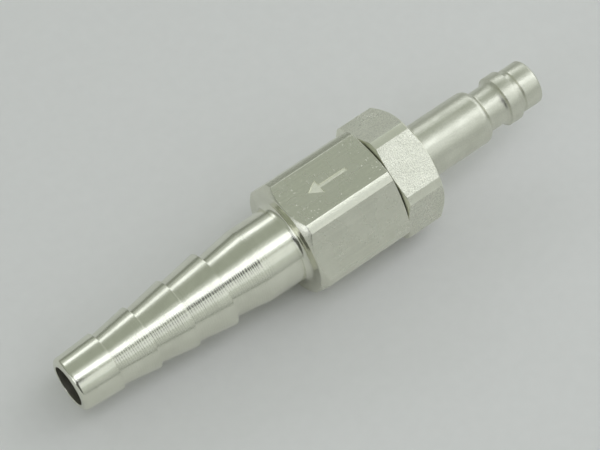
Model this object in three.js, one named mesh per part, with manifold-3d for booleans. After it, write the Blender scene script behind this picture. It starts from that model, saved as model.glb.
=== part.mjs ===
// Quick-connect gas plug with a hose-barb tail and a spring-loaded check valve inside.
//
// Units are millimetres. Every turned piece lies on the X axis. A station is a distance along
// that axis from the open end of the hose barb, and the finished group is moved so that the
// origin is halfway along the part. The front hexagon has one flat facing +Z.

import * as THREE from "three";
import { mergeVertices } from "three/addons/utils/BufferGeometryUtils.js";
import Module from "manifold-3d";

const wasm = await Module();
wasm.setup();

// ---- driving dimensions ----------------------------------------------------------------------

const SEGMENTS = 40; // facets around the two large turned bodies
const FINE_SEGMENTS = 24; // facets around the small inner pieces

// Hexagon bar
const ACROSS_FLATS = 14;
const CORNER_RADIUS = 7.76; // the bar's corners are turned down to this
const FACE_RADIUS = 6.9; // flat end of a chamfered hexagon
const HEX_CLOCK = 29.3; // degrees the plug's hexagon stands past the barb's when screwed home

// Hose barb: each ridge as [station, radius just after the ridge before it, radius at the ridge]
const RIDGES = [
  [5.2, 3.47, 3.77],
  [10.15, 3.37, 4.14],
  [15.25, 3.64, 4.52],
  [20.45, 4.06, 4.87],
  [25.5, 4.05, 4.83],
];
const RIDGE_BACK = 0.08; // axial run of the steep side of a ridge
const TIP_RADIUS = 3.47;
const TIP_ROUND = 0.5; // axial length of the rounded tip
const TIP_FACE = 2.76; // outer radius of the flat end face
const BARB_BORE = 2.55;
const ROOT_FILLET = 0.55; // between the barb and the hexagon's front face

// Front hexagon, on the barb body
const FRONT_HEX = [30.85, 43.72];
const FRONT_CHAMFER = 0.72;
const BACK_CHAMFER = 0.22;
const CHAMBER_RADIUS = 4.75;
const CHAMBER_FLOOR = [31.9, 33.2]; // stations where the conical floor starts and ends

// Rear hexagon, on the plug body
const REAR_HEX = [43.82, 49.3];
const REAR_CHAMFER = 0.52;

// Plug
const SHANK_RADIUS = 3.515;
const SHANK_END = 59.05;
const SHANK_ROUND = 0.95;
const NECK_RADIUS = 2.7;
const NECK = [60.2, 62.15];
const RIDGE_RADIUS = 3.3;
const RIDGE = [63.05, 64.7];
const GROOVE_RADIUS = 2.72;
const NOSE_RADIUS = 2.92;
const NOSE_START = 65.6;
const LENGTH = 68.1;
const NOSE_ROUND = 0.32;
const PLUG_BORE = 1.7;

// Screw joint between the two bodies, M11 x 1
const PITCH = 1;
const THREAD = [37.4, 41.9];
const THREAD_STEPS = 16; // straight stretches in one turn
const MALE = { root: 4.92, crest: 5.4, rootHalf: 0.4, crestHalf: 0.07 };
const FEMALE = { root: 5.06, crest: 5.52, rootHalf: 0.44, crestHalf: 0.12 };
const UNDERCUT = [42.4, 43.9];
const UNDERCUT_RADIUS = 4.9;
const SEAL_POCKET = [42.55, 6.08]; // station of its floor, and its radius

// Valve pocket inside the plug body's screwed end
const SPIGOT_END = 35.8;
const PILOT_RADIUS = 4.55;
const POCKET_RADIUS = 3.6;
const SEAT = [45, 46.9]; // the conical seat, at 45 degrees
const RING_GROOVE = [36.5, 37.1];
const RING_GROOVE_RADIUS = 3.95;

// Seals, as [station, mean radius, section radius]
const BODY_SEAL = [43.15, 5.46, 0.5];
const POPPET_SEAL = [45.05, 2.8, 0.5];

// Poppet
const STEM_RADIUS = 1;
const PIN_RADIUS = 0.8;
const PIN_END = 67.3;
const FLANGE = [43.4, 44.5];
const FLANGE_RADIUS = 2.95;
const SEAL_GROOVE_RADIUS = 2.25;
const STEM_END = 36.2;

// Guide washer, retaining ring and spring
const GUIDE = [37.15, 38.05];
const GUIDE_RADIUS = 3.5;
const GUIDE_HOLE = 1.1;
const NOTCH_RADIUS = 0.95;
const NOTCHES = 4;
const RETAINER = [36.55, 37.05];
const RETAINER_RADII = [3.05, 3.88];
const RETAINER_GAP = 50; // degrees
const SPRING_RADIUS = 2.3;
const WIRE_RADIUS = 0.22;
const SPRING_TURNS = 5;

// Flow arrow cut into the front hexagon's upper flat
const ARROW_LENGTH = 5.4;
const ARROW_HEAD = [1.5, 0.95]; // length and half width
const ARROW_SHAFT = 0.17; // half width
const ARROW_DEPTH = 0.12;

// ---- materials -------------------------------------------------------------------------------

const metal = (color, roughness) => new THREE.MeshStandardMaterial({ color, roughness, metalness: 1 });
const rubber = () => new THREE.MeshStandardMaterial({ color: 0x1b1c1c, roughness: 0.8, metalness: 0 });

const NICKEL = 0xc8cbbd;
const STEEL = 0xb4b6b4;
const BRASS = 0xc2a35a;

// ---- solids ----------------------------------------------------------------------------------

// Joins the corners that triangles share and drops triangles that have shrunk to a line.
function weld(geometry) {
  const bare = geometry.clone();
  bare.deleteAttribute("normal");
  bare.deleteAttribute("uv");
  const merged = mergeVertices(bare, 1e-4);
  const corners = Array.from(merged.index.array);
  const kept = [];
  for (let i = 0; i < corners.length; i += 3) {
    const [a, b, c] = corners.slice(i, i + 3);
    if (a !== b && b !== c && c !== a) kept.push(a, b, c);
  }
  return { vertProperties: merged.attributes.position.array, triVerts: Uint32Array.from(kept) };
}

function solid(geometry) {
  return new wasm.Manifold(new wasm.Mesh({ numProp: 3, ...weld(geometry) }));
}

function surface(manifold) {
  const mesh = manifold.getMesh();
  const geometry = new THREE.BufferGeometry();
  geometry.setAttribute("position", new THREE.BufferAttribute(mesh.vertProperties, 3));
  geometry.setIndex(new THREE.BufferAttribute(mesh.triVerts, 1));
  geometry.computeVertexNormals();
  return geometry;
}

// Turns an outline of [station, radius] points about the X axis.
function turned(outline, segments = SEGMENTS) {
  const points = outline.map(([station, radius]) => new THREE.Vector2(radius, station));
  const geometry = new THREE.LatheGeometry(points, segments);
  geometry.rotateZ(-Math.PI / 2);
  return geometry;
}

// A turned ring or tube: the outline is closed back to its first point.
function turnedRing(outline, segments = SEGMENTS) {
  return turned([...outline, outline[0]], segments);
}

// Points of a quarter ellipse between two [station, radius] points. It leaves the first one
// along the axis when alongFirst is true, and along the radius when it isn't.
function quarter([x0, r0], [x1, r1], alongFirst, steps = 4) {
  const points = [];
  for (let i = 0; i <= steps; i += 1) {
    const turn = (i / steps) * (Math.PI / 2);
    const rise = Math.sin(turn);
    const run = 1 - Math.cos(turn);
    const [u, v] = alongFirst ? [rise, run] : [run, rise];
    points.push([x0 + (x1 - x0) * u, r0 + (r1 - r0) * v]);
  }
  return points;
}

// Extrudes a flat shape along X, between two stations. The shape's x is -Z and its y is Y.
function extrudedAlongX(shape, [start, end]) {
  const geometry = new THREE.ExtrudeGeometry(shape, { depth: end - start, bevelEnabled: false });
  geometry.rotateY(Math.PI / 2);
  geometry.translate(start, 0, 0);
  return geometry;
}

// A hexagon bar with turned corners, chamfered to FACE_RADIUS at both ends.
function hexagonBar([start, end], frontChamfer, backChamfer, clock) {
  const shape = new THREE.Shape();
  const reach = ACROSS_FLATS / Math.sqrt(3);
  for (let corner = 0; corner < 6; corner += 1) {
    const angle = THREE.MathUtils.degToRad(30 + clock + 60 * corner);
    const point = [reach * Math.cos(angle), reach * Math.sin(angle)];
    if (corner === 0) shape.moveTo(...point);
    else shape.lineTo(...point);
  }
  const blank = turned([
    [start, 0],
    [start, FACE_RADIUS],
    [start + frontChamfer, CORNER_RADIUS],
    [end - backChamfer, CORNER_RADIUS],
    [end, FACE_RADIUS],
    [end, 0],
  ], SEGMENTS * 2);
  return solid(extrudedAlongX(shape, [start - 1, end + 1])).intersect(solid(blank));
}

// A helical ridge with a tapered start and end, as one closed body. Its crest stands out from
// the root radius to the crest radius.
function helix({ root, crest, rootHalf, crestHalf }, [start, end]) {
  const steps = Math.round(((end - start) / PITCH) * THREAD_STEPS);
  const fade = THREAD_STEPS / 4;
  const positions = [];
  for (let i = 0; i <= steps; i += 1) {
    const height = Math.min(1, (Math.min(i, steps - i) + 1) / (fade + 1));
    const angle = (i / THREAD_STEPS) * 2 * Math.PI;
    const station = start + (i / THREAD_STEPS) * PITCH;
    const foot = root - 0.12;
    const top = foot + (crest - foot) * height;
    const section = [[-rootHalf, foot], [-crestHalf, top], [crestHalf, top], [rootHalf, foot]];
    for (const [offset, radius] of section) {
      positions.push(station + offset, radius * Math.cos(angle), radius * Math.sin(angle));
    }
  }
  const triangles = [0, 1, 2, 0, 2, 3];
  for (let i = 0; i < steps; i += 1) {
    for (let side = 0; side < 4; side += 1) {
      const a = i * 4 + side;
      const b = i * 4 + ((side + 1) % 4);
      triangles.push(a, a + 4, b, b, a + 4, b + 4);
    }
  }
  const last = steps * 4;
  triangles.push(last, last + 2, last + 1, last, last + 3, last + 2);
  const geometry = new THREE.BufferGeometry();
  geometry.setAttribute("position", new THREE.Float32BufferAttribute(positions, 3));
  geometry.setIndex(triangles);
  return geometry;
}

// ---- barb body -------------------------------------------------------------------------------

function barbOutline() {
  const outline = quarter([0, TIP_FACE], [TIP_ROUND, TIP_RADIUS], false);
  RIDGES.forEach(([station, , radius], index) => {
    outline.push([station, radius]);
    const next = RIDGES[index + 1];
    if (next) outline.push([station + RIDGE_BACK, next[1]]);
  });
  const shank = RIDGES.at(-1)[2];
  const face = FRONT_HEX[0];
  outline.push(...quarter([face - ROOT_FILLET, shank], [face, shank + ROOT_FILLET], true));
  return outline;
}

function flowArrow() {
  const [head, spread] = ARROW_HEAD;
  const tip = -ARROW_LENGTH / 2;
  const shape = new THREE.Shape();
  shape.moveTo(tip, 0);
  shape.lineTo(tip + head, -spread);
  shape.lineTo(tip + head, -ARROW_SHAFT);
  shape.lineTo(-tip, -ARROW_SHAFT);
  shape.lineTo(-tip, ARROW_SHAFT);
  shape.lineTo(tip + head, ARROW_SHAFT);
  shape.lineTo(tip + head, spread);
  const geometry = new THREE.ExtrudeGeometry(shape, { depth: 1, bevelEnabled: false });
  const middle = (FRONT_HEX[0] + FRONT_HEX[1]) / 2;
  geometry.translate(middle, 0, ACROSS_FLATS / 2 - ARROW_DEPTH);
  return geometry;
}

function barbCavity() {
  const [floorStart, floorEnd] = CHAMBER_FLOOR;
  const [sealFloor, sealRadius] = SEAL_POCKET;
  return turned([
    [-1, 0],
    [-1, BARB_BORE],
    [floorStart, BARB_BORE],
    [floorEnd, CHAMBER_RADIUS],
    [THREAD[0] - 0.9, CHAMBER_RADIUS],
    [THREAD[0] - 0.9, FEMALE.root],
    [sealFloor, FEMALE.root],
    [sealFloor, sealRadius],
    [FRONT_HEX[1] + 1, sealRadius],
    [FRONT_HEX[1] + 1, 0],
  ]);
}

function barbBody() {
  const middle = (FRONT_HEX[0] + FRONT_HEX[1]) / 2;
  const tail = turned([[0, 0], ...barbOutline(), [middle, RIDGES.at(-1)[2]], [middle, 0]]);
  const threadGroove = helix(FEMALE, [THREAD[0] - 1, SEAL_POCKET[0] + 0.6]);
  return surface(
    solid(tail)
      .add(hexagonBar(FRONT_HEX, FRONT_CHAMFER, BACK_CHAMFER, 0))
      .subtract(solid(barbCavity()))
      .subtract(solid(threadGroove))
      .subtract(solid(flowArrow())),
  );
}

// ---- plug body -------------------------------------------------------------------------------

function plugOutline() {
  const roundEnd = SHANK_END + SHANK_ROUND;
  return [
    [SPIGOT_END, 0],
    [SPIGOT_END, PILOT_RADIUS],
    [THREAD[0] - 0.6, PILOT_RADIUS],
    [THREAD[0] - 0.3, MALE.root],
    [UNDERCUT[0], MALE.root],
    [UNDERCUT[0], UNDERCUT_RADIUS - 0.25],
    [UNDERCUT[1], UNDERCUT_RADIUS - 0.25],
    [UNDERCUT[1], SHANK_RADIUS + 0.6],
    [REAR_HEX[1], SHANK_RADIUS + 0.3],
    [REAR_HEX[1] + 0.3, SHANK_RADIUS],
    ...quarter([SHANK_END, SHANK_RADIUS], [roundEnd, NECK_RADIUS + 0.12], true),
    [NECK[0], NECK_RADIUS],
    ...quarter([NECK[1], NECK_RADIUS], [RIDGE[0] - 0.08, RIDGE_RADIUS - 0.1], true, 3),
    [RIDGE[0], RIDGE_RADIUS],
    [RIDGE[1], RIDGE_RADIUS],
    [RIDGE[1] + 0.15, GROOVE_RADIUS],
    [NOSE_START - 0.15, GROOVE_RADIUS],
    [NOSE_START, NOSE_RADIUS],
    ...quarter([LENGTH - NOSE_ROUND, NOSE_RADIUS], [LENGTH, NOSE_RADIUS - NOSE_ROUND], true, 3),
    [LENGTH, 0],
  ];
}

function plugCavity() {
  const [grooveStart, grooveEnd] = RING_GROOVE;
  return turned([
    [SPIGOT_END - 1, 0],
    [SPIGOT_END - 1, POCKET_RADIUS],
    [grooveStart, POCKET_RADIUS],
    [grooveStart, RING_GROOVE_RADIUS],
    [grooveEnd, RING_GROOVE_RADIUS],
    [grooveEnd, POCKET_RADIUS],
    [SEAT[0], POCKET_RADIUS],
    [SEAT[1], PLUG_BORE],
    [LENGTH - 0.25, PLUG_BORE],
    [LENGTH + 0.15, PLUG_BORE + 0.4],
    [LENGTH + 0.15, 0],
  ]);
}

function plugBody() {
  return surface(
    solid(turned(plugOutline()))
      .add(hexagonBar(REAR_HEX, BACK_CHAMFER, REAR_CHAMFER, HEX_CLOCK))
      .add(solid(helix(MALE, THREAD)))
      .subtract(solid(plugCavity())),
  );
}

// ---- inner pieces ----------------------------------------------------------------------------

function sealRing([station, mean, section]) {
  const geometry = new THREE.TorusGeometry(mean, section, 8, FINE_SEGMENTS);
  geometry.rotateY(Math.PI / 2);
  geometry.translate(station, 0, 0);
  return geometry;
}

function poppet() {
  const [grooveStart, grooveEnd] = [FLANGE[1], POPPET_SEAL[0] + 0.55];
  const lip = [grooveEnd, grooveEnd + 0.3];
  const lipRadius = SEAL_GROOVE_RADIUS + 0.15;
  return turned([
    [STEM_END, 0],
    [STEM_END, STEM_RADIUS - 0.3],
    [STEM_END + 0.3, STEM_RADIUS],
    [FLANGE[0], STEM_RADIUS],
    [FLANGE[0], FLANGE_RADIUS],
    [grooveStart, FLANGE_RADIUS],
    [grooveStart, SEAL_GROOVE_RADIUS],
    [grooveEnd, SEAL_GROOVE_RADIUS],
    [lip[0], lipRadius],
    [lip[1], lipRadius],
    [lip[1] + lipRadius - PIN_RADIUS, PIN_RADIUS],
    [PIN_END - 0.2, PIN_RADIUS],
    [PIN_END, PIN_RADIUS - 0.2],
    [PIN_END, 0],
  ], FINE_SEGMENTS);
}

function guideWasher() {
  const [start, end] = GUIDE;
  const disc = turnedRing([
    [start, GUIDE_HOLE],
    [start, GUIDE_RADIUS],
    [end, GUIDE_RADIUS],
    [end, GUIDE_HOLE],
  ], FINE_SEGMENTS);
  let washer = solid(disc);
  for (let notch = 0; notch < NOTCHES; notch += 1) {
    const angle = ((notch + 0.5) / NOTCHES) * 2 * Math.PI;
    const centre = GUIDE_RADIUS + 0.1;
    const cutter = new THREE.CylinderGeometry(NOTCH_RADIUS, NOTCH_RADIUS, 3, 16);
    cutter.rotateZ(Math.PI / 2);
    cutter.translate((start + end) / 2, centre * Math.cos(angle), centre * Math.sin(angle));
    washer = washer.subtract(solid(cutter));
  }
  return surface(washer);
}

function retainingRing() {
  const [inner, outer] = RETAINER_RADII;
  const half = THREE.MathUtils.degToRad(RETAINER_GAP / 2);
  const shape = new THREE.Shape();
  shape.absarc(0, 0, outer, half, 2 * Math.PI - half, false);
  shape.absarc(0, 0, inner, 2 * Math.PI - half, half, true);
  const geometry = new THREE.ExtrudeGeometry(shape, {
    depth: RETAINER[1] - RETAINER[0],
    bevelEnabled: false,
    curveSegments: FINE_SEGMENTS - 6,
  });
  geometry.rotateY(Math.PI / 2);
  geometry.translate(RETAINER[0], 0, 0);
  return geometry;
}

// The spring's wire: one dead turn at each end and open turns between them.
class SpringCurve extends THREE.Curve {
  getPoint(t, target = new THREE.Vector3()) {
    const start = GUIDE[1] + WIRE_RADIUS + 0.06;
    const end = FLANGE[0] - WIRE_RADIUS - 0.06;
    const closed = 2 * WIRE_RADIUS + 0.03;
    const turn = t * (SPRING_TURNS + 2);
    const open = (end - start - 2 * closed) / SPRING_TURNS;
    const rise = Math.min(turn, 1) * closed
      + Math.min(Math.max(turn - 1, 0), SPRING_TURNS) * open
      + Math.max(turn - 1 - SPRING_TURNS, 0) * closed;
    const angle = turn * 2 * Math.PI;
    return target.set(start + rise, SPRING_RADIUS * Math.cos(angle), SPRING_RADIUS * Math.sin(angle));
  }
}

function spring() {
  const section = new THREE.Shape();
  const sides = 6;
  for (let side = 0; side < sides; side += 1) {
    const angle = (side / sides) * 2 * Math.PI;
    const point = [WIRE_RADIUS * Math.cos(angle), WIRE_RADIUS * Math.sin(angle)];
    if (side === 0) section.moveTo(...point);
    else section.lineTo(...point);
  }
  const steps = (SPRING_TURNS + 2) * 12;
  return new THREE.ExtrudeGeometry(section, { steps, extrudePath: new SpringCurve() });
}

// ---- assembly --------------------------------------------------------------------------------

function named(name, geometry, material) {
  const mesh = new THREE.Mesh(geometry, material);
  mesh.name = name;
  return mesh;
}

const assembly = new THREE.Group();
assembly.add(
  named("barb_body", barbBody(), metal(NICKEL, 0.22)),
  named("plug_body", plugBody(), metal(NICKEL, 0.26)),
  named("body_o_ring", sealRing(BODY_SEAL), rubber()),
  named("valve_poppet", poppet(), metal(BRASS, 0.3)),
  named("poppet_o_ring", sealRing(POPPET_SEAL), rubber()),
  named("valve_spring", spring(), metal(STEEL, 0.3)),
  named("valve_guide", guideWasher(), metal(STEEL, 0.35)),
  named("retaining_ring", retainingRing(), metal(STEEL, 0.35)),
);
assembly.position.x = -LENGTH / 2;

export default assembly;
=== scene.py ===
"""Looks for the quick-connect gas plug: fine meshes, plated-metal materials, studio and camera.

Lengths are in millimetres, and point() or MM turns them into metres. A station is a distance along
the X axis from the open end of the hose barb, as in the CAD source. An angle goes round the X axis
from +Z towards -Y, in degrees.
"""

import math
from collections import namedtuple

import bmesh
import bpy
from mathutils import Matrix, Vector


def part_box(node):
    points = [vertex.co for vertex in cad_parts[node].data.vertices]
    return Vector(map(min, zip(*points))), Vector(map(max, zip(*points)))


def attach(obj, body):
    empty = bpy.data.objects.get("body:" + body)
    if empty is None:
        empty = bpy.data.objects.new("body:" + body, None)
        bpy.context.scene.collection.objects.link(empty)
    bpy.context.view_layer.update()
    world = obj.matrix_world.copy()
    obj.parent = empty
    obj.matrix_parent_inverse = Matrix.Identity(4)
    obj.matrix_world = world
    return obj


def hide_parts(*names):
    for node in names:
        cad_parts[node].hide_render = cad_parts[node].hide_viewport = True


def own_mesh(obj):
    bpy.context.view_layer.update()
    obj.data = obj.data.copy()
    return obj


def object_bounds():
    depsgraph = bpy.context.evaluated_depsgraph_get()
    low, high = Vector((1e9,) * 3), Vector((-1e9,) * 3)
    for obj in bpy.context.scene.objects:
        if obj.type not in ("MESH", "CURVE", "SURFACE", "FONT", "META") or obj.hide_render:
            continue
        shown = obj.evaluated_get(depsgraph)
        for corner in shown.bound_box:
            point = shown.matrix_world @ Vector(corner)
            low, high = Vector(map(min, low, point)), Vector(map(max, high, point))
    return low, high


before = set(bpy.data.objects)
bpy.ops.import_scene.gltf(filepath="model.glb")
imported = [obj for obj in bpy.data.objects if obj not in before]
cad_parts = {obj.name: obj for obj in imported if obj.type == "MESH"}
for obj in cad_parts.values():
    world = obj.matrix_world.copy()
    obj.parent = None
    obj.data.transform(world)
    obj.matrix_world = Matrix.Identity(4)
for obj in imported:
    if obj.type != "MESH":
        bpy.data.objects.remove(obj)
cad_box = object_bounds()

MM = 0.001
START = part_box("barb_body")[0].x  # where station 0 is, in metres
LENGTH = (cad_box[1].x - cad_box[0].x) / MM

# ---- dimensions of the two bodies ---------------------------------------------------------------

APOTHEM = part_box("barb_body")[1].z / MM  # half of the distance across flats
CORNER_RADIUS = cad_box[1].z / MM  # the hexagons' corners are turned down to this
FACE_RADIUS = 6.9  # where a hexagon's end face meets its chamfer
HEX_CLOCK = 29.3  # degrees between the two hexagons
FRONT_HEX = (30.85, 43.72)  # stations of the two end faces
REAR_HEX = (43.82, 49.3)
FRONT_CHAMFERS = (0.72, 0.22)  # length at each end
REAR_CHAMFERS = (0.22, 0.52)

EDGE = 0.05  # broken edge on turned corners
FLAT_EDGE = 0.2  # radius along a flat's long edges

RIDGES = [  # station, radius just after the ridge before it, radius at the ridge
    (5.2, 3.47, 3.77),
    (10.15, 3.37, 4.14),
    (15.25, 3.64, 4.52),
    (20.45, 4.06, 4.87),
    (25.5, 4.05, 4.83),
]
RIDGE_BACK = 0.08  # length of the step behind a ridge
RIDGE_EDGE = 0.07
RIDGE_FOOT = 0.015
TIP_FACE = 2.76
TIP_ROUND = 0.5
BARB_BORE = 2.55
BARB_BORE_EDGE = 0.06
ROOT_FILLET = 0.7  # between the barb's shank and the hexagon
CHAMBER_RADIUS = 4.75
CHAMBER_FLOOR = (31.9, 33.2)
SEAL_POCKET = (42.55, 6.08)  # station of its floor, and radius

THREAD_PITCH = 1.0
THREAD = (37.1, 42.3)
THREAD_ROWS = 60
THREAD_FLAT = 0.15  # share of half a pitch that is flat at the root, and again at the crest
THREAD_FADE = 0.5
THREAD_RUNOUT = 0.6
MALE = (4.92, 5.4)  # root and crest radius
FEMALE = (5.06, 5.5)

SPIGOT_END = 35.8
SPIGOT_ROUND = 0.2
PILOT_END = THREAD[0] - 0.3
PILOT_RADIUS = 4.55
UNDERCUT_START = THREAD[1] + 0.1
UNDERCUT_RADIUS = 4.65
POCKET_RADIUS = 3.6
SEAT = (45.0, 46.9)
RING_GROOVE = (36.5, 37.1)
RING_GROOVE_RADIUS = 3.95

SHANK_RADIUS = 3.515
SHANK_ROOT = 0.3
SHANK_END = 59.05
SHANK_ROUND = 0.95
NECK_RADIUS = 2.7
NECK_STEP = 0.12  # how far the shank's round end stands above the neck
NECK = (60.2, 62.15)
LOCK_RADIUS = 3.3
LOCK = (63.05, 64.7)
LOCK_LIP = (0.08, 0.1)  # length and height of the bevel between the flare and the locking ridge
GROOVE_RADIUS = 2.72
GROOVE_SIDE = 0.15
NOSE_START = 65.6
NOSE_RADIUS = 2.92
NOSE_ROUND = 0.32
PLUG_BORE = 1.7
BORE_CHAMFER = 0.25
PLUG_EDGE = 0.08
PLUG_FILLET = 0.1

ARROW_LENGTH = 5.4
ARROW_HEAD = (1.5, 0.95)  # length and half width
ARROW_SHAFT = 0.17  # half width
ARROW_DEPTH = 0.12
ARROW_DRAFT = 0.07  # how much wider the groove is at the surface than at its floor
SHARP_ANGLE = 35  # degrees; the engraved body's steeper edges are shaded sharp

# ---- dimensions of the inner pieces -------------------------------------------------------------

BODY_SEAL = (43.15, 5.46, 0.5)  # station, mean radius and section radius
POPPET_SEAL = (45.05, 2.8, 0.5)

STEM_END = 36.2
STEM_RADIUS = 1.0
STEM_EDGE = 0.25
FLANGE = (43.4, 44.5)
FLANGE_RADIUS = 2.95
POPPET_EDGE = 0.08
SEAL_SEAT_END = 45.6
SEAL_SEAT_RADIUS = 2.25
LIP_RADIUS = 2.4
LIP_LENGTH = 0.3
PIN_RADIUS = 0.8
PIN_END = 67.3
PIN_EDGE = 0.18
PIN_ROOT = 0.1

GUIDE = (37.15, 38.05)
GUIDE_HOLE = 1.1
GUIDE_RIM = 3.5
NOTCH_RADIUS = 0.95
NOTCH_CENTRE = 3.6

RETAINER = (36.55, 37.05)
RETAINER_RADII = (3.05, 3.88)
RETAINER_GAP = 50  # degrees

SPRING_RADIUS = 2.3
SPRING_TURNS = 5
SPRING_GAP = 0.03  # between the wire and what it rests on
WIRE_RADIUS = 0.22

# ---- profiles -----------------------------------------------------------------------------------

# The material slots of the two bodies.
TURNED, FLAT, STRIP, INSIDE, ENGRAVED = range(5)

# A corner of a turned profile: cut is how far back its rounding starts, and zone is the index of
# the material on the stretch that begins here.
Corner = namedtuple("Corner", "station radius cut zone")


def point(station, radius, angle):
    turn = math.radians(angle)
    x = START + station * MM
    return Vector((x, -radius * MM * math.sin(turn), radius * MM * math.cos(turn)))


def quarter(start, end, along_first, zone, steps=6):
    """Points of a quarter ellipse. It leaves start along the axis, or else along the radius."""
    points = []
    for i in range(steps + 1):
        turn = i / steps * math.pi / 2
        u, v = 1 - math.cos(turn), math.sin(turn)
        if along_first:
            u, v = v, u
        station = start[0] + (end[0] - start[0]) * u
        radius = start[1] + (end[1] - start[1]) * v
        points.append(Corner(station, radius, 0, zone))
    return points


def rounded(corners, closed, steps=3, longest=0.4):
    """The profile's points, with each corner that has a cut replaced by a short curve, which takes
    at most the longest share of a side."""
    points = []
    for i, corner in enumerate(corners):
        here = Vector((corner.station, corner.radius))
        inner = closed or 0 < i < len(corners) - 1
        if corner.cut == 0 or not inner:
            points.append((here, corner.zone))
            continue
        sides = []
        for other in (corners[i - 1], corners[(i + 1) % len(corners)]):
            side = Vector((other.station, other.radius)) - here
            sides.append(here + side.normalized() * min(corner.cut, side.length * longest))
        for k in range(steps + 1):
            t = k / steps
            bend = sides[0] * (1 - t) ** 2 + here * 2 * t * (1 - t) + sides[1] * t**2
            points.append((bend, corner.zone))
    return points


# The rounded edge's centre lies REACH from the axis, and OFFSET to the side of the flat's middle.
# The edge begins and ends at these angles from the flat's middle.
REACH = CORNER_RADIUS - FLAT_EDGE
OFFSET = math.sqrt(REACH**2 - (APOTHEM - FLAT_EDGE) ** 2)
EDGE_STARTS = math.degrees(math.atan2(OFFSET, APOTHEM))
EDGE_ENDS = math.degrees(math.atan2(OFFSET, APOTHEM - FLAT_EDGE))


def hexagon_radius(angle, clock):
    """Radius of the hexagon bar at an angle, with turned corners and rounded long edges."""
    from_flat = abs((angle - clock + 30) % 60 - 30)
    if from_flat <= EDGE_STARTS:
        return APOTHEM / math.cos(math.radians(from_flat))
    if from_flat >= EDGE_ENDS:
        return CORNER_RADIUS
    away = math.radians(EDGE_ENDS - from_flat)
    return REACH * math.cos(away) + math.sqrt(FLAT_EDGE**2 - (REACH * math.sin(away)) ** 2)


def hexagon_angles(clock):
    """Angles of the columns round a hexagon: steps across each flat, its edges and its corner strip."""
    breaks = [(-EDGE_STARTS, EDGE_STARTS, 18), (EDGE_STARTS, EDGE_ENDS, 3)]
    breaks += [(EDGE_ENDS, 60 - EDGE_ENDS, 6), (60 - EDGE_ENDS, 60 - EDGE_STARTS, 3)]
    sector = [a + (b - a) * i / n for a, b, n in breaks for i in range(n)]
    return [clock + 60 * k + angle for k in range(6) for angle in sector]


def hexagon_corners(span, chamfers, angle, clock):
    """The stretch of a body's profile that runs over a hexagon, from one end face to the other."""
    radius = hexagon_radius(angle, clock)
    rise = (radius - FACE_RADIUS) / (CORNER_RADIUS - FACE_RADIUS)
    on_flat = radius < CORNER_RADIUS - 1e-6
    return [
        Corner(span[0], FACE_RADIUS, EDGE, STRIP),
        Corner(span[0] + chamfers[0] * rise, radius, EDGE, FLAT if on_flat else STRIP),
        Corner(span[1] - chamfers[1] * rise, radius, EDGE, STRIP),
        Corner(span[1], FACE_RADIUS, EDGE, STRIP),
    ]


def thread_corners(span, angle, root, crest):
    """A right-hand helical thread that fades out at both ends of the span."""
    corners = []
    low, high = min(span), max(span)
    for i in range(THREAD_ROWS + 1):
        station = span[0] + (span[1] - span[0]) * i / THREAD_ROWS
        phase = (station / THREAD_PITCH - angle / 360) % 1
        wave = (abs(2 * phase - 1) - THREAD_FLAT) / (1 - 2 * THREAD_FLAT)
        wave = min(1, max(0, wave))
        fade = min(1, (station - low) / THREAD_FADE, (high - station) / THREAD_FADE)
        corners.append(Corner(station, root + (crest - root) * wave * fade, 0, INSIDE))
    return corners


# ---- meshes -------------------------------------------------------------------------------------


def finished(name, made):
    """The mesh of a bmesh, which is freed."""
    mesh = bpy.data.meshes.new(name)
    made.to_mesh(mesh)
    made.free()
    return mesh


def weighted_normals(obj):
    normals = obj.modifiers.new("normals", "WEIGHTED_NORMAL")
    normals.weight = 80
    return normals


def new_object(name, mesh, materials, smooth=True):
    for material in materials:
        mesh.materials.append(material)
    obj = bpy.data.objects.new(name, mesh)
    bpy.context.scene.collection.objects.link(obj)
    if smooth:
        mesh.shade_smooth()
        weighted_normals(obj)
    return obj


def swept(name, rows, zones, closed, wrapped, materials):
    """A surface through rows of points: rows[i][j] is profile point i at column j. It closes along
    the profile if closed and along the columns if wrapped, and is capped where it doesn't wrap."""
    made = bmesh.new()
    grid = [[made.verts.new(p) for p in row] for row in rows]
    count = len(grid[0])
    for i in range(len(grid) if closed else len(grid) - 1):
        here, after = grid[i], grid[(i + 1) % len(grid)]
        for j in range(count if wrapped else count - 1):
            k = (j + 1) % count
            face = made.faces.new((here[j], after[j], after[k], here[k]))
            face.material_index = zones[i][j]
    if not wrapped:
        made.faces.new([row[0] for row in reversed(grid)])
        made.faces.new([row[-1] for row in grid])
    bmesh.ops.remove_doubles(made, verts=made.verts, dist=1e-8)
    bmesh.ops.recalc_face_normals(made, faces=made.faces)
    return new_object(name, finished(name, made), materials)


def turned(name, profile, angles, materials, closed=True, wrapped=True):
    """A turned piece. profile(angle) gives the same number of corners at every angle."""
    columns = [rounded(profile(angle), closed) for angle in angles]
    rows = []
    zones = []
    for i in range(len(columns[0])):
        rows.append([point(*column[i][0], angle) for column, angle in zip(columns, angles)])
        zones.append([column[i][1] for column in columns])
    return swept(name, rows, zones, closed, wrapped, materials)


def even_angles(count):
    return [360 * i / count for i in range(count)]


# ---- the two bodies -----------------------------------------------------------------------------


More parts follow.
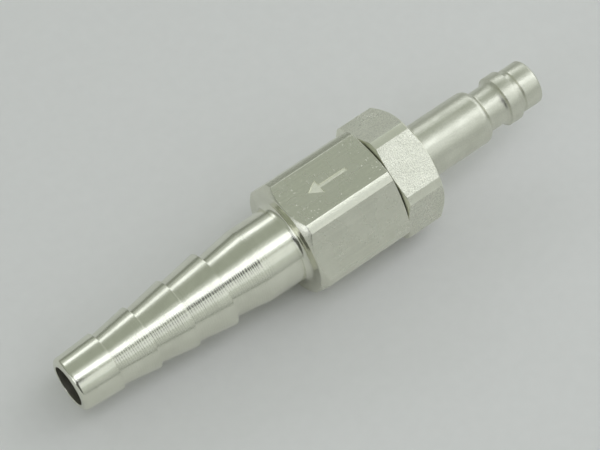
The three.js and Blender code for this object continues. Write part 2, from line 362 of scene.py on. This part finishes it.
def barb_profile(angle):
    corners = [Corner(0, BARB_BORE, BARB_BORE_EDGE, TURNED)]
    corners += quarter((0, TIP_FACE), (TIP_ROUND, RIDGES[0][1]), False, TURNED)
    for index, (station, _, radius) in enumerate(RIDGES):
        corners.append(Corner(station, radius, RIDGE_EDGE, TURNED))
        if index + 1 < len(RIDGES):
            corners.append(Corner(station + RIDGE_BACK, RIDGES[index + 1][1], RIDGE_FOOT, TURNED))
    shank = RIDGES[-1][2]
    root = FRONT_HEX[0]
    corners += quarter((root - ROOT_FILLET, shank), (root, shank + ROOT_FILLET), True, TURNED)
    corners += hexagon_corners(FRONT_HEX, FRONT_CHAMFERS, angle, 0)
    floor, radius = SEAL_POCKET
    corners += [
        Corner(FRONT_HEX[1], radius, EDGE, INSIDE),
        Corner(floor, radius, EDGE, INSIDE),
        Corner(floor, FEMALE[0], EDGE, INSIDE),
    ]
    corners += thread_corners((THREAD[1], THREAD[0]), angle, *FEMALE)
    corners += [
        Corner(THREAD[0] - THREAD_RUNOUT, FEMALE[0], EDGE, INSIDE),
        Corner(THREAD[0] - THREAD_RUNOUT, CHAMBER_RADIUS, EDGE, INSIDE),
        Corner(CHAMBER_FLOOR[1], CHAMBER_RADIUS, EDGE, INSIDE),
        Corner(CHAMBER_FLOOR[0], BARB_BORE, EDGE, INSIDE),
    ]
    return corners


def plug_profile(angle):
    corners = [
        Corner(SPIGOT_END, POCKET_RADIUS, EDGE, INSIDE),
        Corner(SPIGOT_END, PILOT_RADIUS, SPIGOT_ROUND, INSIDE),
        Corner(PILOT_END, PILOT_RADIUS, EDGE, INSIDE),
    ]
    corners += thread_corners(THREAD, angle, *MALE)
    corners += [
        Corner(UNDERCUT_START, UNDERCUT_RADIUS, EDGE, INSIDE),
        Corner(REAR_HEX[0], UNDERCUT_RADIUS, EDGE, INSIDE),
    ]
    corners += hexagon_corners(REAR_HEX, REAR_CHAMFERS, angle, HEX_CLOCK)
    shoulder = (SHANK_END + SHANK_ROUND, NECK_RADIUS + NECK_STEP)
    flare = (LOCK[0] - LOCK_LIP[0], LOCK_RADIUS - LOCK_LIP[1])
    nose = (LENGTH - NOSE_ROUND, NOSE_RADIUS)
    nose_face = (LENGTH, NOSE_RADIUS - NOSE_ROUND)
    corners += [
        Corner(REAR_HEX[1], SHANK_RADIUS + SHANK_ROOT, PLUG_FILLET, TURNED),
        Corner(REAR_HEX[1] + SHANK_ROOT, SHANK_RADIUS, PLUG_FILLET, TURNED),
        *quarter((SHANK_END, SHANK_RADIUS), shoulder, True, TURNED),
        Corner(NECK[0], NECK_RADIUS, PLUG_FILLET, TURNED),
        *quarter((NECK[1], NECK_RADIUS), flare, True, TURNED),
        Corner(LOCK[0], LOCK_RADIUS, EDGE, TURNED),
        Corner(LOCK[1], LOCK_RADIUS, PLUG_EDGE, TURNED),
        Corner(LOCK[1] + GROOVE_SIDE, GROOVE_RADIUS, PLUG_EDGE, TURNED),
        Corner(NOSE_START - GROOVE_SIDE, GROOVE_RADIUS, PLUG_EDGE, TURNED),
        Corner(NOSE_START, NOSE_RADIUS, PLUG_EDGE, TURNED),
        *quarter(nose, nose_face, True, TURNED),
        Corner(LENGTH, PLUG_BORE + BORE_CHAMFER, EDGE, INSIDE),
        Corner(LENGTH - BORE_CHAMFER, PLUG_BORE, EDGE, INSIDE),
        Corner(SEAT[1], PLUG_BORE, EDGE, INSIDE),
        Corner(SEAT[0], POCKET_RADIUS, EDGE, INSIDE),
        Corner(RING_GROOVE[1], POCKET_RADIUS, EDGE, INSIDE),
        Corner(RING_GROOVE[1], RING_GROOVE_RADIUS, EDGE, INSIDE),
        Corner(RING_GROOVE[0], RING_GROOVE_RADIUS, EDGE, INSIDE),
        Corner(RING_GROOVE[0], POCKET_RADIUS, EDGE, INSIDE),
    ]
    return corners


def arrow_outline(grow):
    """The flow arrow's outline, pointing towards the barb, moved outwards by grow."""
    middle = sum(FRONT_HEX) / 2
    tip = middle - ARROW_LENGTH / 2
    neck = tip + ARROW_HEAD[0] + grow
    slant = math.hypot(*ARROW_HEAD) / ARROW_HEAD[1]
    spread = ARROW_HEAD[1] * (1 + grow * (slant + 1) / ARROW_HEAD[0])
    shaft = ARROW_SHAFT + grow
    end = middle + ARROW_LENGTH / 2 + grow
    half = [(neck, spread), (neck, shaft), (end, shaft)]
    return [(tip - grow * slant, 0), *half, *[(x, -y) for x, y in reversed(half)]]


def arrow_cutter():
    made = bmesh.new()
    levels = [(APOTHEM - ARROW_DEPTH, 0), (APOTHEM + ARROW_DEPTH, 2 * ARROW_DRAFT)]
    loops = []
    for height, grow in levels:
        loop = [Vector((START + x * MM, y * MM, height * MM)) for x, y in arrow_outline(grow)]
        loops.append([made.verts.new(p) for p in loop])
    made.faces.new(loops[0])
    made.faces.new(loops[1])
    for i in range(len(loops[0])):
        k = (i + 1) % len(loops[0])
        made.faces.new((loops[0][i], loops[0][k], loops[1][k], loops[1][i]))
    bmesh.ops.recalc_face_normals(made, faces=made.faces)
    for face in made.faces:
        face.material_index = ENGRAVED
    return finished("arrow_cutter", made)


def engrave(obj, materials):
    """obj with the flow arrow cut into its top flat."""
    cutter = new_object("arrow_cutter", arrow_cutter(), materials, smooth=False)
    obj.modifiers.clear()
    cut = obj.modifiers.new("arrow", "BOOLEAN")
    cut.operation = "DIFFERENCE"
    cut.solver = "EXACT"
    cut.object = cutter
    graph = bpy.context.evaluated_depsgraph_get()
    obj.data = bpy.data.meshes.new_from_object(obj.evaluated_get(graph))
    obj.modifiers.clear()
    bpy.data.objects.remove(cutter)
    obj.data.shade_smooth()
    obj.data.set_sharp_from_angle(angle=math.radians(SHARP_ANGLE))
    weighted_normals(obj).keep_sharp = True
    return obj


# ---- inner pieces -------------------------------------------------------------------------------


def seal_ring(name, station, mean, section, materials):
    """An O-ring with a round section."""

    def profile(angle):
        turns = [math.radians(degrees) for degrees in even_angles(20)]
        return [
            Corner(station + section * math.cos(t), mean + section * math.sin(t), 0, 0) for t in turns
        ]

    return turned(name, profile, even_angles(72), materials)


def poppet_profile(angle):
    """Half of the poppet's outline, from the guide stem's end to the pin's end, both on the axis."""
    cone_start = SEAL_SEAT_END + LIP_LENGTH
    return [
        Corner(STEM_END, 0, 0, 0),
        Corner(STEM_END, STEM_RADIUS, STEM_EDGE, 0),
        Corner(FLANGE[0], STEM_RADIUS, POPPET_EDGE, 0),
        Corner(FLANGE[0], FLANGE_RADIUS, POPPET_EDGE, 0),
        Corner(FLANGE[1], FLANGE_RADIUS, POPPET_EDGE, 0),
        Corner(FLANGE[1], SEAL_SEAT_RADIUS, EDGE, 0),
        Corner(SEAL_SEAT_END, SEAL_SEAT_RADIUS, EDGE, 0),
        Corner(SEAL_SEAT_END, LIP_RADIUS, EDGE, 0),
        Corner(cone_start, LIP_RADIUS, POPPET_EDGE, 0),
        Corner(cone_start + LIP_RADIUS - PIN_RADIUS, PIN_RADIUS, PIN_ROOT, 0),
        Corner(PIN_END, PIN_RADIUS, PIN_EDGE, 0),
        Corner(PIN_END, 0, 0, 0),
    ]


def ring_corners(span, inner, outer):
    """The outline of a flat ring between two stations."""
    return [
        Corner(span[0], inner, EDGE, 0),
        Corner(span[0], outer, EDGE, 0),
        Corner(span[1], outer, EDGE, 0),
        Corner(span[1], inner, EDGE, 0),
    ]


def guide_profile(angle):
    """A washer with four round notches in its rim, at 45 degrees to the flats' middles."""
    from_notch = math.radians(angle % 90 - 45)
    aside = NOTCH_CENTRE * math.sin(from_notch)
    rim = GUIDE_RIM
    if abs(aside) < NOTCH_RADIUS:
        near = NOTCH_CENTRE * math.cos(from_notch) - math.sqrt(NOTCH_RADIUS**2 - aside**2)
        rim = min(rim, near)
    return ring_corners(GUIDE, GUIDE_HOLE, rim)


def retainer_profile(angle):
    return ring_corners(RETAINER, *RETAINER_RADII)


def retainer_angles(steps=90):
    """Angles of the snap ring's columns, from one side of its gap round to the other."""
    first = 90 + RETAINER_GAP / 2
    return [first + (360 - RETAINER_GAP) * i / steps for i in range(steps + 1)]


def spring(materials, steps_a_turn=40, sides=14):
    """A compression spring with one closed turn at each end, swept from a round wire."""
    start = GUIDE[1] + WIRE_RADIUS + SPRING_GAP
    end = FLANGE[0] - WIRE_RADIUS - SPRING_GAP
    closed_pitch = 2 * WIRE_RADIUS + SPRING_GAP
    open_pitch = (end - start - 2 * closed_pitch) / SPRING_TURNS
    steps = steps_a_turn * (SPRING_TURNS + 2)
    rows = [[] for _ in range(sides)]
    for i in range(steps + 1):
        turn = i / steps_a_turn
        closed_turns = min(turn, 1) + max(turn - 1 - SPRING_TURNS, 0)
        open_turns = min(max(turn - 1, 0), SPRING_TURNS)
        rise = closed_turns * closed_pitch + open_turns * open_pitch
        for side in range(sides):
            lean = 2 * math.pi * side / sides
            station = start + rise + WIRE_RADIUS * math.sin(lean)
            radius = SPRING_RADIUS + WIRE_RADIUS * math.cos(lean)
            rows[side].append(point(station, radius, 90 - 360 * turn))
    zones = [[0] * (steps + 1) for _ in range(sides)]
    return swept("spring_coil", rows, zones, True, False, materials)


# ---- nodes --------------------------------------------------------------------------------------

# A Mix node's colour sockets share their names with its number sockets, so they go by their places.
MIX_A, MIX_B, MIX_RESULT = 6, 7, 2


class Nodes:
    """A small helper round the node tree of a material or the world."""

    def __init__(self, owner, coordinates):
        owner.use_nodes = True
        self.owner = owner
        self.tree = owner.node_tree
        self.place = self.add("ShaderNodeTexCoord").outputs[coordinates]

    def add(self, kind, **settings):
        node = self.tree.nodes.new(kind)
        for key, value in settings.items():
            setattr(node, key, value)
        return node

    def link(self, out, into):
        self.tree.links.new(out, into)

    def stretched(self, scale):
        mapping = self.add("ShaderNodeMapping")
        mapping.inputs["Scale"].default_value = scale
        self.link(self.place, mapping.inputs["Vector"])
        return mapping.outputs["Vector"]

    def noise(self, size, detail=2, stretch=(1, 1, 1)):
        """Noise of 0 to 1, with features of about size in millimetres."""
        node = self.add("ShaderNodeTexNoise")
        node.inputs["Scale"].default_value = 1 / (size * MM)
        node.inputs["Detail"].default_value = detail
        self.link(self.stretched(stretch), node.inputs["Vector"])
        return node.outputs["Fac"]

    def rings(self, pitch):
        """Rings round the X axis, such as a turning tool leaves, a little uneven in pitch and depth."""
        wave = self.add("ShaderNodeTexWave", wave_type="BANDS", bands_direction="X")
        wave.inputs["Scale"].default_value = math.pi / (10 * pitch * MM)  # one band for each pitch
        wave.inputs["Distortion"].default_value = 5
        wave.inputs["Detail"].default_value = 2
        self.link(self.stretched((1, 0.03, 0.03)), wave.inputs["Vector"])
        uneven = self.noise(3 * pitch, 2, (1, 0.1, 0.1))
        depth = self.ranged(uneven, 0.35, 0.65, 0.6, 1)
        return self.maths("MULTIPLY", wave.outputs["Fac"], depth)

    def specks(self, spacing, share):
        """Ragged pits in a share of the cells of a pattern: 1 at their middle, and 0 outside them."""
        smallest, largest, wall = 0.05, 0.35, 0.18  # of the spacing
        cells = self.add("ShaderNodeTexVoronoi")
        cells.inputs["Scale"].default_value = 1 / (spacing * MM)
        self.link(self.place, cells.inputs["Vector"])
        reach = self.ranged(self.noise(spacing / 4), 0.35, 0.65, smallest, largest)
        depth = self.maths("SUBTRACT", reach, cells.outputs["Distance"])
        split = self.add("ShaderNodeSeparateColor")
        self.link(cells.outputs["Color"], split.inputs["Color"])
        chosen = self.maths("LESS_THAN", split.outputs["Red"], share)
        return self.maths("MULTIPLY", self.ranged(depth, 0, wall, 0, 1), chosen)

    def ranged(self, value, low, high, to_low, to_high, smooth=False):
        node = self.add("ShaderNodeMapRange")
        if smooth:
            node.interpolation_type = "SMOOTHSTEP"
        self.link(value, node.inputs["Value"])
        node.inputs["From Min"].default_value = low
        node.inputs["From Max"].default_value = high
        node.inputs["To Min"].default_value = to_low
        node.inputs["To Max"].default_value = to_high
        return node.outputs["Result"]

    def spread(self, noise, to_low, to_high):
        """Noise mapped so that nearly all of it lies between two values."""
        return self.ranged(noise, 0.3, 0.7, to_low, to_high)

    def maths(self, operation, a, b):
        node = self.add("ShaderNodeMath", operation=operation)
        for socket, value in zip(node.inputs, (a, b)):
            if isinstance(value, (int, float)):
                socket.default_value = value
            else:
                self.link(value, socket)
        return node.outputs["Value"]

    def mixed(self, factor, a, b):
        node = self.add("ShaderNodeMix", data_type="RGBA")
        self.link(factor, node.inputs["Factor"])
        node.inputs[MIX_A].default_value = (*a, 1)
        node.inputs[MIX_B].default_value = (*b, 1)
        return node.outputs[MIX_RESULT]

    def shaded(self, colour, factor):
        """The colour made lighter or darker by a factor that changes over the surface."""
        node = self.add("ShaderNodeVectorMath", operation="SCALE")
        self.link(colour, node.inputs["Vector"])
        self.link(factor, node.inputs["Scale"])
        return node.outputs["Vector"]

    def component(self, axis):
        """The X, Y or Z of the place."""
        split = self.add("ShaderNodeSeparateXYZ")
        self.link(self.place, split.inputs["Vector"])
        return split.outputs[axis]

    def along(self, start, end, fade):
        """1 between two stations and 0 beyond them, with a soft change over fade."""
        x = self.component("X")
        rise = self.ranged(x, START + (start - fade) * MM, START + start * MM, 0, 1)
        fall = self.ranged(x, START + end * MM, START + (end + fade) * MM, 1, 0)
        return self.maths("MULTIPLY", rise, fall)

    def bump(self, height, depth, normal=None):
        """Bump by a height of 0 to 1 that stands for depth in millimetres."""
        node = self.add("ShaderNodeBump")
        node.inputs["Distance"].default_value = depth * MM
        self.link(height, node.inputs["Height"])
        if normal is not None:
            self.link(normal, node.inputs["Normal"])
        return node.outputs["Normal"]

    def finish(self, colour, roughness, normal, metallic=1.0):
        """The material, once its colour, roughness and normal are joined to the shader."""
        shader = self.tree.nodes["Principled BSDF"]
        shader.inputs["Metallic"].default_value = metallic
        self.link(colour, shader.inputs["Base Color"])
        self.link(roughness, shader.inputs["Roughness"])
        self.link(normal, shader.inputs["Normal"])
        return self.owner


def surface(name):
    return Nodes(bpy.data.materials.new(name), "Object")


# ---- materials ----------------------------------------------------------------------------------

NICKEL = (0.795, 0.80, 0.695)
NICKEL_DULL = (0.715, 0.72, 0.62)
STEEL = (0.6, 0.61, 0.6)
WASHER_STEEL = (0.55, 0.56, 0.55)
BRASS = (0.80, 0.58, 0.27)
BORE_GREY = (0.34, 0.33, 0.28)
RUBBER_BLACK = (0.018, 0.018, 0.018)
RUBBER_GREY = (0.035, 0.035, 0.034)

RING_PITCH = 0.3
RINGED = (5.4, 26.5)  # the stretch of the barb with turning rings
SATIN = 0.18  # sizes of the grain, in millimetres
SAND = 0.15
DRAWN_LINE = 0.25
TURNED_CLOUD = 2.5
FLAT_CLOUD = 3
INNER_RING = 0.15
INNER_CLOUD = 1.5
RUBBER_GRAIN = 0.08
LINE_DEPTH = 0.006
NICK_SPACING = 0.42
NICK_DEPTH = 0.03
NICKED_END = 3  # how far the more nicked ends of a flat reach


def plated(n, tone, cloud_size, roughness):
    """Colour and roughness of nickel plate, both a little cloudy."""
    cloud = n.spread(n.noise(cloud_size, 3), 0, 1)
    colour = n.mixed(cloud, [c * tone for c in NICKEL], [c * tone for c in NICKEL_DULL])
    return colour, n.ranged(cloud, 0, 1, roughness * 0.85, roughness * 1.2)


def turned_nickel(name, roughness, grain, tone=1.0, marks=(0.001, 0.01), span=(0, LENGTH)):
    """Plated turned metal: rings left by the tool on a span of stations, grain and changes of gloss.

    marks and grain are pairs of a depth in millimetres and a share of light and dark."""
    n = surface(name)
    cut = n.maths("MULTIPLY", n.rings(RING_PITCH), n.along(*span, RING_PITCH))
    fine = n.noise(SATIN, 3)
    colour, gloss = plated(n, tone, TURNED_CLOUD, roughness)
    colour = n.shaded(colour, n.ranged(cut, 0, 1, 1 + marks[1] / 2, 1 - marks[1]))
    colour = n.shaded(colour, n.spread(fine, 1 - grain[1], 1 + grain[1]))
    normal = n.bump(cut, marks[0])
    normal = n.bump(fine, grain[0], normal)
    return n.finish(colour, gloss, normal)


def flat_nickel(name, roughness, grain, span, tone=1.0, nicks=(0, 0)):
    """Drawn hexagon flats: grain, faint lines along the bar, and small nicks, each with a painted glint.

    grain is a depth in millimetres and a share of light and dark. nicks is the share of the surface's
    cells that have one, first near the two ends of the span of stations and then between them."""
    n = surface(name)
    sand = n.noise(SAND, 3)
    lines = n.noise(DRAWN_LINE, 2, (0.04, 1, 1))
    middle = n.along(span[0] + NICKED_END, span[1] - NICKED_END, NICKED_END / 2)
    pits_and_glints = n.specks(NICK_SPACING, n.ranged(middle, 0, 1, *nicks))
    colour, gloss = plated(n, tone, FLAT_CLOUD, roughness)
    colour = n.shaded(colour, n.spread(sand, 1 - grain[1], 1 + grain[1]))
    colour = n.shaded(colour, n.spread(lines, 0.97, 1.03))
    # painted glint: each nick's colour is multiplied by up to 1.2, lighter than the plate around it
    colour = n.shaded(colour, n.ranged(pits_and_glints, 0, 1, 1, 1.2))
    normal = n.bump(sand, grain[0])
    normal = n.bump(lines, LINE_DEPTH, normal)
    normal = n.bump(pits_and_glints, -NICK_DEPTH, normal)
    return n.finish(colour, gloss, normal)


def inner_metal(name, colour, roughness):
    """Turned or drawn metal inside the fitting, with fine rings."""
    n = surface(name)
    rings = n.noise(INNER_RING, 3, (1, 0.02, 0.02))
    tint = n.mixed(n.spread(n.noise(INNER_CLOUD, 3), 0, 1), colour, [c * 0.8 for c in colour])
    gloss = n.spread(rings, roughness * 0.8, roughness * 1.2)
    return n.finish(tint, gloss, n.bump(rings, 0.003))


def rubber():
    n = surface("seal_rubber")
    grain = n.noise(RUBBER_GRAIN, 3)
    tint = n.mixed(grain, RUBBER_BLACK, RUBBER_GREY)
    return n.finish(tint, n.spread(grain, 0.45, 0.65), n.bump(grain, 0.004), metallic=0.0)


def body_materials():
    """The material slots of the barb body and of the plug body."""
    bore = inner_metal("nickel_bore", BORE_GREY, 0.45)
    barb = [
        turned_nickel("nickel_barb", 0.17, (0.007, 0.02), marks=(0.01, 0.03), span=RINGED),
        flat_nickel("nickel_front_flat", 0.26, (0.012, 0.03), FRONT_HEX, nicks=(0.5, 0.16)),
        turned_nickel("nickel_corner", 0.24, (0.012, 0.03)),
        bore,
        flat_nickel("nickel_engraved", 0.45, (0.03, 0.05), FRONT_HEX, tone=1.15),
    ]
    plug = [
        turned_nickel("nickel_plug", 0.33, (0.025, 0.04), tone=0.93),
        flat_nickel("nickel_rear_flat", 0.3, (0.075, 0.17), REAR_HEX, nicks=(0.08, 0.05)),
        # painted light: the rear corner strips get a base colour 1.12 times the front corners', so they
        # read as a lighter band
        turned_nickel("nickel_rear_corner_lightened", 0.32, (0.012, 0.03), tone=1.12),
        bore,
    ]
    return barb, plug


# ---- studio -------------------------------------------------------------------------------------

COOL_WHITE = (0.98, 0.99, 1.07)
PALE_GREEN = (0.93, 1.0, 0.87)
NEAR_BLACK = (0.08, 0.08, 0.08)
DARK_PATCHES = [  # direction as in towards(), how far from it the patch begins and is full, and how dark
    ((52, -44), 36, 27, 0.8),
    ((35, -17), 19, 14, 1.0),
]
SKY = (0.25, 0.41)  # strength at the horizon and higher up
SKY_RISE = 0.45  # the height of the direction where it reaches the second

LAMP_DISTANCE = 0.6  # metres
LAMPS = [  # name, direction as in towards(), width in degrees, length along X in metres, radiance
    ("overhead", 16.5, 17, 20, 0.9, 0.95),
    ("overhead_halo", 14, 17, 36, 1.0, 0.24),
    ("far_strip", -56, 17, 13, 0.9, 0.85),
    ("far_halo", -58, 17, 34, 1.0, 0.16),
    ("near_card", 49, 17, 24, 0.9, 0.28),
    ("near_halo", 62, 17, 52, 1.0, 0.21),
    ("end_card", 0, 62, 60, 0.35, 0.7),
    ("overhead_end", 18, -52, 17, 0.75, 0.8),
    ("barb_card", -15, -79, 24, 0.1, 0.9),
]

FLOOR_HALF = 6  # half of the floor's length and width, in metres
FLOOR_TOUCHES = [  # the stations where the fitting's two lowest edges meet the floor
    ("barb_body", FRONT_HEX[0] + 0.1),
    ("plug_body", REAR_HEX[0] + REAR_CHAMFERS[0]),
]
PAPER = (0.73, 0.73, 0.72)
PAPER_LIGHT = (0.77, 0.77, 0.76)
PAPER_GRAIN = 1.5

CAMERA_ANGLES = (-35.03, 57.66, -2.93)  # azimuth, elevation and roll, in degrees
CAMERA_TARGET = (-0.0004, 0.0008, 0)  # metres
CAMERA_DISTANCE = 0.2707
CAMERA_LENS = 138
CAMERA_SENSOR = 36


def towards(angle, lean):
    """A direction: angle goes round the X axis from +Z towards -Y, and lean tips it towards +X."""
    turn, tip = math.radians(angle), math.radians(lean)
    return Vector((math.sin(tip), -math.sin(turn) * math.cos(tip), math.cos(turn) * math.cos(tip)))


def softbox(name, angle, lean, width, length, radiance):
    away = towards(angle, lean)
    lamp = bpy.data.lights.new(name, "AREA")
    lamp.shape = "RECTANGLE"
    lamp.size = length
    lamp.size_y = 2 * LAMP_DISTANCE * math.tan(math.radians(width / 2))
    lamp.energy = radiance * math.pi * lamp.size * lamp.size_y
    lamp.color = COOL_WHITE
    along = (Vector((1, 0, 0)) - away * away.x).normalized()
    axes = Matrix((along, away.cross(along), away)).transposed().to_4x4()
    obj = bpy.data.objects.new(name, lamp)
    obj.matrix_world = Matrix.Translation(away * LAMP_DISTANCE) @ axes
    obj.visible_camera = False
    bpy.context.scene.collection.objects.link(obj)


def dark_patch(n, centre, outer, inner, share):
    """How far a direction is darkened: 0 beyond the outer angle from centre, share within the inner."""
    aim = n.add("ShaderNodeVectorMath", operation="DOT_PRODUCT")
    n.link(n.place, aim.inputs[0])
    aim.inputs[1].default_value = towards(*centre)
    begins, full = math.cos(math.radians(outer)), math.cos(math.radians(inner))
    return n.ranged(aim.outputs["Value"], begins, full, 0, share, smooth=True)


def surroundings():
    """Pale light from all round, with dark patches behind the camera, as a photographer leaves."""
    world = bpy.data.worlds.new("surroundings")
    n = Nodes(world, "Generated")
    darkness = n.maths("MAXIMUM", *[dark_patch(n, *patch) for patch in DARK_PATCHES])
    background = n.tree.nodes["Background"]
    n.link(n.mixed(darkness, PALE_GREEN, NEAR_BLACK), background.inputs["Color"])
    strength = n.ranged(n.component("Z"), 0, SKY_RISE, *SKY, smooth=True)
    n.link(strength, background.inputs["Strength"])
    bpy.context.scene.world = world


def studio():
    surroundings()
    bpy.context.scene.view_settings.view_transform = "Standard"
    for lamp in LAMPS:
        softbox(*lamp)


def floor():
    """A pale floor under the two edges that the fitting lies on."""
    front, rear = [
        Vector((START + station * MM, 0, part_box(node)[0].z)) for node, station in FLOOR_TOUCHES
    ]
    along = (rear - front).normalized()
    side = Vector((0, 1, 0))
    made = bmesh.new()
    for a, b in ((-1, -1), (1, -1), (1, 1), (-1, 1)):
        made.verts.new(front + (along * a + side * b) * FLOOR_HALF)
    made.faces.new(made.verts)
    n = surface("floor_paper")
    grain = n.noise(PAPER_GRAIN, 3)
    tint = n.mixed(grain, PAPER, PAPER_LIGHT)
    paper = n.finish(tint, n.ranged(grain, 0, 1, 0.8, 0.9), n.bump(grain, 0.01), metallic=0.0)
    new_object("floor", finished("floor", made), [paper], smooth=False)


def camera():
    azimuth, elevation, roll = [math.radians(a) for a in CAMERA_ANGLES]
    back = Vector((
        math.sin(azimuth) * math.cos(elevation),
        -math.cos(azimuth) * math.cos(elevation),
        math.sin(elevation),
    ))
    level = Vector((math.cos(azimuth), math.sin(azimuth), 0))
    right = level * math.cos(roll) + back.cross(level) * math.sin(roll)
    axes = Matrix((right, back.cross(right), back)).transposed().to_4x4()
    lens = bpy.data.cameras.new("camera")
    lens.lens = CAMERA_LENS
    lens.sensor_width = CAMERA_SENSOR
    lens.clip_start = 0.01
    obj = bpy.data.objects.new("camera", lens)
    obj.matrix_world = Matrix.Translation(Vector(CAMERA_TARGET) + back * CAMERA_DISTANCE) @ axes
    bpy.context.scene.collection.objects.link(obj)
    bpy.context.scene.camera = obj


# ---- assembly -----------------------------------------------------------------------------------


def place(piece, node, body):
    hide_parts(node)
    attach(piece, body)
    return piece


def bodies():
    barb_materials, plug_materials = body_materials()
    barb = turned("barb_shell", barb_profile, hexagon_angles(0), barb_materials)
    place(engrave(barb, barb_materials), "barb_body", "housing")
    plug = turned("plug_shell", plug_profile, hexagon_angles(HEX_CLOCK), plug_materials)
    place(plug, "plug_body", "housing")


def seals():
    seal = rubber()
    ring = seal_ring("body_seal", *BODY_SEAL, [seal])
    place(ring, "body_o_ring", "housing")
    ring = seal_ring("poppet_seal", *POPPET_SEAL, [seal])
    place(ring, "poppet_o_ring", "poppet")


def valve_poppet():
    brass = inner_metal("bare_brass", BRASS, 0.25)
    pin = turned("poppet_turned", poppet_profile, even_angles(96), [brass], closed=False)
    place(pin, "valve_poppet", "poppet")


def guide_and_retainer():
    washer_steel = inner_metal("washer_steel", WASHER_STEEL, 0.35)
    washer = turned("guide_washer", guide_profile, even_angles(180), [washer_steel])
    place(washer, "valve_guide", "housing")
    clip = turned("snap_ring", retainer_profile, retainer_angles(), [washer_steel], wrapped=False)
    place(clip, "retaining_ring", "housing")


def valve_spring():
    """The spring between the guide washer and the poppet's flange, given a mesh of its own."""
    steel = inner_metal("spring_steel", STEEL, 0.28)
    coil = place(spring([steel]), "valve_spring", "housing")
    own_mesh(coil)


camera()
studio()
floor()
bodies()
seals()
valve_poppet()
guide_and_retainer()
valve_spring()
